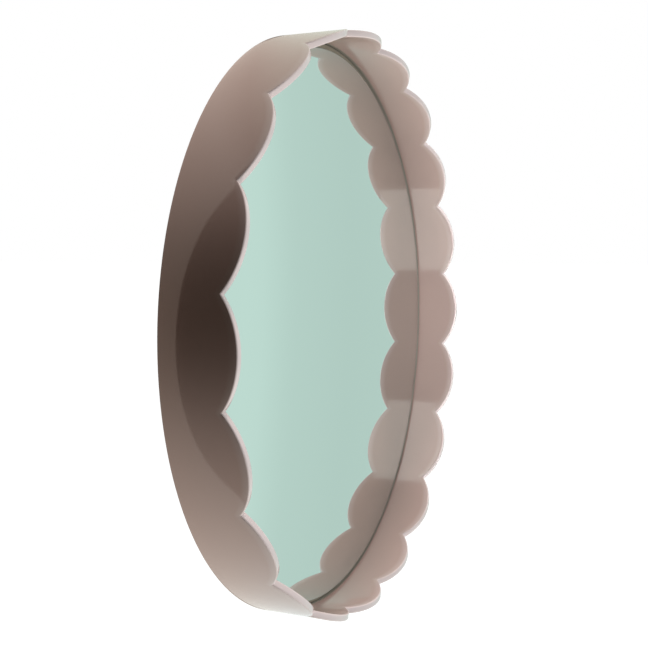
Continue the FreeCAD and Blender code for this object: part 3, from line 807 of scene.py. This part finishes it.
for side in ("left", "right"):
    low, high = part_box(side + "_hanger_strap")
    centre = (low.x + high.x) / 2
    strap_mesh = bmesh.new()
    rings = []
    for depth, rise, normal_depth, normal_rise, half in strap_path():
        ring = []
        for edge, start in ((1, 0), (-1, 2)):
            for corner in (0, 1):
                for step in range(3):
                    turn = math.pi / 2 * (start + corner - 1 + step / 2)
                    x = edge * (half - STRAP_EASED) + STRAP_EASED * math.cos(turn)
                    level = 1 if math.sin(math.pi / 2 * (start + corner - 0.5)) > 0 else -1
                    n = level * (STRAP_THICKNESS / 2 - STRAP_EASED) + STRAP_EASED * math.sin(turn)
                    ring.append(strap_mesh.verts.new((
                        centre + x,
                        PIVOT_DEPTH + depth + n * normal_depth,
                        PIVOT_RISE + rise + n * normal_rise,
                    )))
        rings.append(ring)
    skin(strap_mesh, rings)
    strap = mesh_object(side + "_strap", strap_mesh, nickel)
    punched = bmesh.new()
    for drop in HANGER_SCREW_DROPS:
        at = Vector((centre, low.y + 2 * STRAP_THICKNESS, PIVOT_RISE - drop))
        punch = [(0, 0), (STRAP_HOLE, 0), (STRAP_HOLE, PUNCH_LENGTH), (0, PUNCH_LENGTH)]
        lathe(punched, punch, PUNCH_SIDES, at)
    carve(strap, punched)
    crisp(strap)
    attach(strap, "mirror_frame")
    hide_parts(side + "_hanger_strap")


# D-rings
# Each is 3 mm wire bent to a D and welded where its bar passes through the strap's knuckle. It
# swings right over, so on the wall it stands up over its hook.
WIRE = 1.5 * MM
RING_HALF = 13.5 * MM
RING_CORNER = 3 * MM
RING_SIDE = 2 * MM
WIRE_SIDES = 24
BAR_STEPS = 12
CORNER_STEPS = 12
BOW_STEPS = 48

# Nickel wire: the same plate, drawn smooth, so lights run along it.
wire_nickel, tree, shader = new_material("bright_nickel_wire", {"Metallic": 1.0})
place = add(tree, "ShaderNodeTexCoord").outputs["Object"]
polish = add(tree, "ShaderNodeTexNoise", {"Scale": 1 / (0.6 * MM), "Detail": 4.0}, Vector=place)
colour = add(
    tree, "ShaderNodeMix", {"data_type": "RGBA", "A": linear("#bab5ab"), "B": linear("#d2cec5")},
    Factor=polish.outputs["Fac"],
)
dull = add(tree, "ShaderNodeMapRange", {"To Min": 0.14, "To Max": 0.26}, Value=polish.outputs["Fac"])
link(tree, shader, Base_Color=colour.outputs["Result"], Roughness=dull.outputs["Result"])


def ring_path():
    """The wire's middle line as (across, rise, way across, way up), once round."""
    rows = []
    bar_end = RING_HALF - RING_CORNER
    for step in range(BAR_STEPS + 1):
        rows.append((bar_end * (1 - 2 * step / BAR_STEPS), 0, -1.0, 0.0))
    for step in range(1, CORNER_STEPS + 1):
        turn = math.pi / 2 * (1 + step / CORNER_STEPS)
        rows.append((
            -bar_end + RING_CORNER * math.cos(turn), RING_CORNER * (math.sin(turn) - 1),
            -math.sin(turn), math.cos(turn),
        ))
    bow = -RING_CORNER - RING_SIDE
    for step in range(BOW_STEPS + 1):
        turn = math.pi * (1 + step / BOW_STEPS)
        rows.append((
            RING_HALF * math.cos(turn), bow + RING_HALF * math.sin(turn), -math.sin(turn), math.cos(turn),
        ))
    for step in range(CORNER_STEPS):
        turn = math.pi / 2 * step / CORNER_STEPS
        rows.append((
            bar_end + RING_CORNER * math.cos(turn), RING_CORNER * (math.sin(turn) - 1),
            -math.sin(turn), math.cos(turn),
        ))
    return rows


for side in ("left", "right"):
    low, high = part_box(side + "_hanger_ring")
    centre = (low.x + high.x) / 2
    wire_mesh = bmesh.new()
    rings = []
    for across, rise, way_across, way_up in ring_path():
        ring = []
        for step in range(WIRE_SIDES):
            turn = FULL_TURN * step / WIRE_SIDES
            out = WIRE * math.cos(turn)
            ring.append(wire_mesh.verts.new((
                centre + across + out * way_up, PIVOT_DEPTH + WIRE * math.sin(turn),
                PIVOT_RISE + rise - out * way_across,
            )))
        rings.append(ring)
    skin(wire_mesh, rings, is_loop=True)
    ring = mesh_object(side + "_d_ring", wire_mesh, wire_nickel)
    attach(ring, side + "_hanger_ring")
    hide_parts(side + "_hanger_ring")


# Hanger screws
# Two pan-head screws, 3.5 by 16 mm, hold each strap to the upper batten. Their domed heads stand
# proud, which the soft bumpers allow for.
HEAD_DOME = 2.3 * MM
DOME_STEPS = 8
dome_radius = (SCREW_HEAD ** 2 + (HEAD_DOME / 2) ** 2) / HEAD_DOME
dome_head = []
for step in range(1, DOME_STEPS + 1):
    radius = SCREW_HEAD * step / DOME_STEPS
    dome_head.append((radius, dome_radius - HEAD_DOME - math.sqrt(dome_radius ** 2 - radius ** 2)))
dome_head += [(SCREW_HEAD, -0.1 * MM), (3.4 * MM, 0), (SCREW_RADIUS, 0), (1.4 * MM, 1.6 * MM)]
dome_screw = screw_template("pan_head_screw", dome_head, zinc)
for side in ("left", "right"):
    low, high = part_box(side + "_hanger_screws")
    centre = (low.x + high.x) / 2
    places = [Vector((centre, high.y - HEAD_DOME, PIVOT_RISE - drop)) for drop in HANGER_SCREW_DROPS]
    screws = drive_screws(side + "_pan_screws", dome_screw, places)
    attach(screws, "mirror_frame")
    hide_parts(side + "_hanger_screws")
bpy.data.objects.remove(dome_screw)


# Bumpers
# Four soft self-adhesive bumpers, 6 mm across and 1.5 mm thick, on the hoop's rear edge. They
# keep the hoop off the wall, and their faces set the mirror's rear plane.
PAD_ROUND = 0.6 * MM
PAD_STEPS = 5
PAD_SIDES = 48

# Soft polyurethane: smoky and slightly tacky, with a dull bloom.
soft, tree, shader = new_material("smoky_soft_polyurethane")
place = add(tree, "ShaderNodeTexCoord").outputs["Object"]
bloom = add(tree, "ShaderNodeTexNoise", {"Scale": 1 / (0.8 * MM), "Detail": 3.0}, Vector=place)
colour = add(
    tree, "ShaderNodeMix", {"data_type": "RGBA", "A": linear("#4a4542"), "B": linear("#5a5551")},
    Factor=bloom.outputs["Fac"],
)
dull = add(tree, "ShaderNodeMapRange", {"To Min": 0.4, "To Max": 0.6}, Value=bloom.outputs["Fac"])
link(tree, shader, Base_Color=colour.outputs["Result"], Roughness=dull.outputs["Result"])

for index in range(1, 5):
    node = f"wall_pad_{index}"
    low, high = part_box(node)
    radius, thickness = (high.x - low.x) / 2, high.y - low.y
    section = [(0, 0), *eased_corner(radius, PAD_ROUND, PAD_STEPS), (radius, thickness), (0, thickness)]
    pad_mesh = bmesh.new()
    lathe(pad_mesh, section, PAD_SIDES, Vector(((low.x + high.x) / 2, high.y, (low.z + high.z) / 2)))
    pad = mesh_object("bumper_" + str(index), pad_mesh, soft)
    crisp(pad)
    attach(pad, "mirror_frame")
    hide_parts(node)


# Stage and lamps
# Two soft suns shine from above and below, and softboxes from in front and from behind. Hardly
# any light comes from the left, so the hoop's left side is in shade.
def lamp(name, kind, place, target, size, power, colour="#ffffff", spread=math.pi):
    """A soft lamp that points at a target, and that polished faces don't show."""
    data = bpy.data.lights.new(name, kind)
    if kind == "SUN":
        data.angle = size
    else:
        data.size = size
        data.spread = spread
    data.energy = power
    data.color = linear(colour)[:3]
    made = bpy.data.objects.new(name, data)
    made.location = place
    made.rotation_euler = (Vector(target) - Vector(place)).to_track_quat("-Z", "Y").to_euler()
    made.visible_glossy = False
    made.visible_camera = False
    bpy.context.scene.collection.objects.link(made)


def fill_ramp(node, stops):
    """Sets a colour ramp's stops, given as (position, linear colour) in order."""
    elements = node.color_ramp.elements
    elements[0].position, elements[0].color = stops[0]
    elements[-1].position, elements[-1].color = stops[-1]
    for position, colour in stops[1:-1]:
        elements.new(position).color = colour


def reflected_card(name, mesh, strength, bounces, *stops):
    """A lit card that only polished faces show, and only after at least this many bounces.
    Its colour follows stops of (height, colour), from 1 m below the mirror's middle to 1 m above."""
    material, tree, shader = new_material(name, {
        "Base Color": (0, 0, 0, 1), "Emission Strength": strength,
    })
    place = add(tree, "ShaderNodeTexCoord").outputs["Object"]
    axes = add(tree, "ShaderNodeSeparateXYZ", Vector=place)
    height = add(tree, "ShaderNodeMapRange", {"From Min": -1.0, "From Max": 1.0}, Value=axes.outputs["Z"])
    ramp = add(tree, "ShaderNodeValToRGB", Fac=height.outputs["Result"])
    fill_ramp(ramp, [(position, linear(colour)) for position, colour in stops])
    link(tree, shader, Emission_Color=ramp.outputs["Color"])
    rays = add(tree, "ShaderNodeLightPath")
    shown = add(
        tree, "ShaderNodeMath", {"operation": "GREATER_THAN", 1: bounces - 0.5}, rays.outputs["Ray Depth"],
    )
    clear = add(tree, "ShaderNodeBsdfTransparent")
    surface = add(
        tree, "ShaderNodeMixShader", {},
        shown.outputs["Value"], clear.outputs["BSDF"], shader.outputs["BSDF"],
    )
    link(tree, tree.nodes["Material Output"], surface.outputs["Shader"])
    card = mesh_object(name, mesh, material)
    card.visible_camera = False
    card.visible_diffuse = False
    card.visible_shadow = False
    card.visible_transmission = False
    material.cycles.emission_sampling = "NONE"
    card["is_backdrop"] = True


lamp("overhead_light", "SUN", (0.5, -0.05, 2), (0, 0, 0), math.radians(16), 2.7)
lamp("low_light", "SUN", (0.0, -0.05, -2), (0, 0, 0), math.radians(16), 2.95, "#f4ffff")
lamp("front_softbox", "AREA", (-0.12, -1.45, 0), (0, -0.05, 0), 0.5, 20, "#eef7ff")
lamp("side_softbox", "AREA", (-0.3, -1.45, 0), (0.39, -0.07, 0), 0.15, 0.46, "#eef7ff", math.radians(28))
lamp("rear_softbox", "AREA", (0.7, 2.2, 0.8), (0.1, 0, 0), 1.6, 62)

# A wide, matt, pale floor well below the mirror. Only the camera sees it, mostly as plain white.
FLOOR_DROP = 0.7
FLOOR_REACH = 60
FLOOR_WHITENESS = 0.8
floor_mesh = bmesh.new()
bmesh.ops.create_grid(floor_mesh, x_segments=1, y_segments=1, size=FLOOR_REACH)
floor_material, tree, shader = new_material("pale_floor", {
    "Base Color": linear("#fbfbfa"), "Roughness": 0.9, "Specular IOR Level": 0.0,
})
rays = add(tree, "ShaderNodeLightPath")
seen = add(
    tree, "ShaderNodeMath", {"operation": "MULTIPLY", 1: FLOOR_WHITENESS}, rays.outputs["Is Camera Ray"],
)
white = add(tree, "ShaderNodeEmission", {"Color": (1, 1, 1, 1), "Strength": 1.1})
surface = add(
    tree, "ShaderNodeMixShader", {},
    seen.outputs["Value"], shader.outputs["BSDF"], white.outputs["Emission"],
)
link(tree, tree.nodes["Material Output"], surface.outputs["Shader"])
floor_material.cycles.emission_sampling = "NONE"
floor = mesh_object("floor", floor_mesh, floor_material)
floor.location = (0, 0, hoop_low.z - FLOOR_DROP)
floor.visible_glossy = False
floor.visible_diffuse = False
floor.visible_shadow = False
floor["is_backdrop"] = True

# The reflected cards: a pale wall round the hoop, which ends just past its left side, the dark
# beyond that end, and two lit strips in front, which the hoop shows by way of the glass.
WALL_LEFT = -0.44
WALL_RIGHT = 2.0
WALL_HEIGHT = 1.1
WALL_SIDES = 180
WALL_GAP = 2 * MM
STRIP_FAR = -1
STRIP_NEAR = -0.3
wall_mesh = bmesh.new()
wall_rings = []
for side in range(WALL_SIDES):
    angle = FULL_TURN * (side + 0.5) / WALL_SIDES
    across, upward = math.cos(angle), math.sin(angle)
    reach = min((WALL_LEFT if across < 0 else WALL_RIGHT) / across, WALL_HEIGHT / abs(upward))
    wall_rings.append([
        wall_mesh.verts.new((radius * across, HOOP_REAR + WALL_GAP, radius * upward))
        for radius in (HOOP_RADIUS + WALL_GAP, reach)
    ])
for side in range(WALL_SIDES):
    here, there = wall_rings[side], wall_rings[(side + 1) % WALL_SIDES]
    wall_mesh.faces.new((here[0], here[1], there[1], there[0]))
# Round the hoop's middle height the wall is warmer, painted bounce light from the pink hoop.
reflected_card(
    "reflected_wall", wall_mesh, 1.2, 1,
    (0.28, "#dfe8e8"), (0.33, "#e2e2dc"), (0.48, "#f2dccc"), (0.53, "#edd6c6"),
    (0.65, "#ebe4d9"), (0.69, "#b6b2a8"), (0.73, "#c4cec2"),
)
dark_mesh = bmesh.new()
dark_mesh.faces.new([
    dark_mesh.verts.new((x, HOOP_REAR + WALL_GAP, z))
    for x, z in ((WALL_LEFT, -1), (WALL_LEFT, 1), (2 * WALL_LEFT, 1), (2 * WALL_LEFT, -1))
])
reflected_card("dark_beyond_wall", dark_mesh, 1.0, 1, (0.0, "#302b28"), (1.0, "#302b28"))
for name, height, left, right in (("low_strip", -0.8, -1.8, -0.23), ("high_strip", 1.2, -1.29, -0.02)):
    strip_mesh = bmesh.new()
    strip_mesh.faces.new([
        strip_mesh.verts.new((x, y, height))
        for x, y in ((left, STRIP_FAR), (right, STRIP_FAR), (right, STRIP_NEAR), (left, STRIP_NEAR))
    ])
    reflected_card(name, strip_mesh, 4.8, 2, (0.0, "#eef6f0"), (1.0, "#eef6f0"))

# The world is white to the camera. Polished faces see a mint room in front, with a gentle step
# from light to dark, and a pale room behind, banded so that metal reads as metal. Light that a
# matt face has scattered finds a brighter room in the glass, which lights the hoop's inside.
world = bpy.data.worlds.new("studio")
bpy.context.scene.world = world
world.use_nodes = True
tree = world.node_tree
tree.nodes.clear()
rays = add(tree, "ShaderNodeLightPath")
shiny = add(
    tree, "ShaderNodeMath", {"operation": "MAXIMUM"},
    rays.outputs["Is Glossy Ray"], rays.outputs["Is Transmission Ray"],
)
direction = add(tree, "ShaderNodeTexCoord")
axes = add(tree, "ShaderNodeSeparateXYZ", Vector=direction.outputs["Generated"])
turned = add(tree, "ShaderNodeMapRange", {"From Min": -1.0, "From Max": 1.0}, Value=axes.outputs["Y"])
room_tone = add(tree, "ShaderNodeValToRGB", Fac=turned.outputs["Result"])
ROOM_IN_FRONT = "#d6f2e9"
ROOM_BEHIND = "#e2e2d8"
room_stops = [(position, ROOM_IN_FRONT, light) for position, light in (
    (0.0, 1.0), (0.262, 1.12), (0.2695, 1.1), (0.2835, 0.99), (0.31, 0.93), (0.48, 0.92),
)]
room_stops.append((0.52, ROOM_BEHIND, 0.6))
fill_ramp(room_tone, [
    (position, [light * part for part in linear(colour)[:3]] + [1]) for position, colour, light in room_stops
])
ambient = add(tree, "ShaderNodeBackground", {"Color": linear("#fff0e4"), "Strength": 0.07})
raised = add(tree, "ShaderNodeMapRange", {"From Min": -1.0, "From Max": 1.0}, Value=axes.outputs["Z"])
behind_tone = add(tree, "ShaderNodeValToRGB", Fac=raised.outputs["Result"])
behind_stops = ((0.0, 0.35), (0.34, 1.3), (0.48, 1.3), (0.54, 0.35), (0.7, 0.35), (0.8, 2.4), (1.0, 2.4))
fill_ramp(behind_tone, [(position, (light, light, light, 1)) for position, light in behind_stops])
is_behind = add(tree, "ShaderNodeMapRange", {"From Min": 0.05, "From Max": 0.2}, Value=axes.outputs["Y"])
room_light = add(
    tree, "ShaderNodeMix", {"A": 1.0}, Factor=is_behind.outputs["Result"], B=behind_tone.outputs["Color"],
)
mint = add(
    tree, "ShaderNodeBackground", Color=room_tone.outputs["Color"], Strength=room_light.outputs["Result"],
)
low_only = add(
    tree, "ShaderNodeMapRange", {"From Min": -0.6, "From Max": -0.35, "To Min": 0.4, "To Max": 1.4},
    Value=axes.outputs["Y"],
)
bright = add(tree, "ShaderNodeBackground", {"Color": linear("#e6f6ff")}, Strength=low_only.outputs["Result"])
white = add(tree, "ShaderNodeBackground", {"Color": (1, 1, 1, 1), "Strength": 1.0})
scattered = add(tree, "ShaderNodeMath", {"operation": "GREATER_THAN", 1: 0.5}, rays.outputs["Diffuse Depth"])
room = add(
    tree, "ShaderNodeMixShader", {},
    scattered.outputs["Value"], mint.outputs["Background"], bright.outputs["Background"],
)
lit = add(
    tree, "ShaderNodeMixShader", {},
    shiny.outputs["Value"], ambient.outputs["Background"], room.outputs["Shader"],
)
surface = add(
    tree, "ShaderNodeMixShader", {},
    rays.outputs["Is Camera Ray"], lit.outputs["Shader"], white.outputs["Background"],
)
add(tree, "ShaderNodeOutputWorld", Surface=surface.outputs["Shader"])


# Camera
# It stands to the mirror's left, in front of it and a little above its middle, with the place and
# the lens that were fitted to the cusps and to their reflections in the glass.
CAMERA_PLACE = (-1.2726, -0.5838, 0.1119)
CAMERA_YAW = math.radians(-66.06)
CAMERA_PITCH = math.radians(-4.58)
CAMERA_ROLL = math.radians(-0.21)
FOCAL_PIXELS = 975.6
PICTURE_PIXELS = 648
camera_data = bpy.data.cameras.new("camera")
camera_data.sensor_width = 36
camera_data.lens = camera_data.sensor_width * FOCAL_PIXELS / PICTURE_PIXELS
camera = bpy.data.objects.new("camera", camera_data)
forward = Vector((
    -math.sin(CAMERA_YAW) * math.cos(CAMERA_PITCH),
    math.cos(CAMERA_YAW) * math.cos(CAMERA_PITCH),
    math.sin(CAMERA_PITCH),
))
right = forward.cross(Vector((0, 0, 1))).normalized()
upward = right.cross(forward)
rolled_right = right * math.cos(CAMERA_ROLL) + upward * math.sin(CAMERA_ROLL)
rolled_up = upward * math.cos(CAMERA_ROLL) - right * math.sin(CAMERA_ROLL)
turn = Matrix((rolled_right, rolled_up, -forward)).transposed().to_4x4()
camera.matrix_world = Matrix.Translation(CAMERA_PLACE) @ turn
bpy.context.scene.collection.objects.link(camera)
bpy.context.scene.camera = camera
bpy.context.scene.view_settings.view_transform = "Standard"

low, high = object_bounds()
